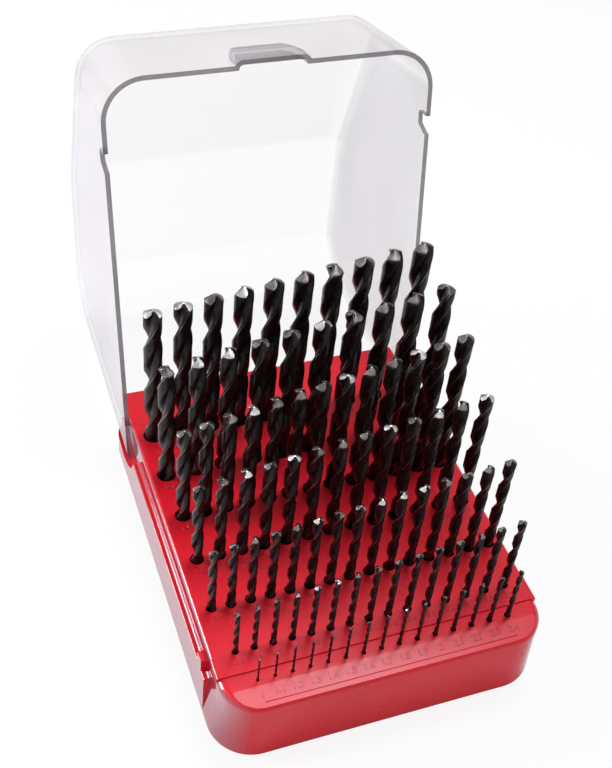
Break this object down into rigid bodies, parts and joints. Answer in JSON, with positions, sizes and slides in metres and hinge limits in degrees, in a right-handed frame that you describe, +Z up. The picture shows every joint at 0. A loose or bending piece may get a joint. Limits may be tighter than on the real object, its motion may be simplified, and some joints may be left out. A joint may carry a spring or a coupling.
{
  "type": "drill bit case",
  "caption": "Red desktop case with rows of upright black twist drills and a clear hinged hood that swings back on studs at the rear.",
  "frame": {"origin": "centre of the block's flat underside", "axes": "+X along the rows of drills, from the smallest of a row to the largest; +Y from the front row to the hinge; +Z up, along the drills"},
  "size_m": [0.155, 0.2961, 0.2131],
  "materials": {
    "red_plastic": "glossy moulded",
    "clear_plastic": "polished clear moulded",
    "black_steel": "black oxide, ground"
  },
  "bodies": {
    "base": {"base": "red_plastic", "bits_1_0_to_1_4": "black_steel", "bits_1_5_to_1_9": "black_steel", "bits_2_0_to_2_4": "black_steel", "bits_2_5_to_2_9": "black_steel", "bits_3_0_to_3_4": "black_steel", "bits_3_5_to_3_9": "black_steel", "bits_4_0_to_4_4": "black_steel", "bits_4_5_to_4_9": "black_steel", "bits_5_0_to_5_4": "black_steel", "bits_5_5_to_5_9": "black_steel", "bits_6_0_to_6_3": "black_steel", "bits_6_4_to_6_7": "black_steel", "bits_6_8_to_7_1": "black_steel", "bits_7_2_to_7_5": "black_steel", "bits_7_6_to_8_0": "black_steel", "bits_8_1_to_8_5": "black_steel", "bits_8_6_to_9_0": "black_steel"},
    "lid": {"lid": "clear_plastic"},
    "bit_9_1": {"bit_9_1": "black_steel"},
    "bit_9_2": {"bit_9_2": "black_steel"},
    "bit_9_3": {"bit_9_3": "black_steel"},
    "bit_9_4": {"bit_9_4": "black_steel"},
    "bit_9_5": {"bit_9_5": "black_steel"},
    "bit_9_6": {"bit_9_6": "black_steel"},
    "bit_9_7": {"bit_9_7": "black_steel"},
    "bit_9_8": {"bit_9_8": "black_steel"},
    "bit_9_9": {"bit_9_9": "black_steel"},
    "bit_10_0": {"bit_10_0": "black_steel"}
  },
  "joints": [
    {"name": "lid_hinge", "type": "hinge", "parent": "base", "child": "lid", "pos_m": [0, 0.0808, 0.0325], "axis": [1, 0, 0], "range_deg": [0, 100.5]},
    {"name": "lift_bit_9_1", "type": "slide", "parent": "base", "child": "bit_9_1", "axis": [0, 0, -1], "range_m": [-0.036, 0]},
    {"name": "lift_bit_9_2", "type": "slide", "parent": "base", "child": "bit_9_2", "axis": [0, 0, -1], "range_m": [-0.036, 0]},
    {"name": "lift_bit_9_3", "type": "slide", "parent": "base", "child": "bit_9_3", "axis": [0, 0, -1], "range_m": [-0.036, 0]},
    {"name": "lift_bit_9_4", "type": "slide", "parent": "base", "child": "bit_9_4", "axis": [0, 0, -1], "range_m": [-0.036, 0]},
    {"name": "lift_bit_9_5", "type": "slide", "parent": "base", "child": "bit_9_5", "axis": [0, 0, -1], "range_m": [-0.036, 0]},
    {"name": "lift_bit_9_6", "type": "slide", "parent": "base", "child": "bit_9_6", "axis": [0, 0, -1], "range_m": [-0.036, 0]},
    {"name": "lift_bit_9_7", "type": "slide", "parent": "base", "child": "bit_9_7", "axis": [0, 0, -1], "range_m": [-0.036, 0]},
    {"name": "lift_bit_9_8", "type": "slide", "parent": "base", "child": "bit_9_8", "axis": [0, 0, -1], "range_m": [-0.036, 0]},
    {"name": "lift_bit_9_9", "type": "slide", "parent": "base", "child": "bit_9_9", "axis": [0, 0, -1], "range_m": [-0.036, 0]},
    {"name": "lift_bit_10_0", "type": "slide", "parent": "base", "child": "bit_10_0", "axis": [0, 0, -1], "range_m": [-0.036, 0]}
  ]
}
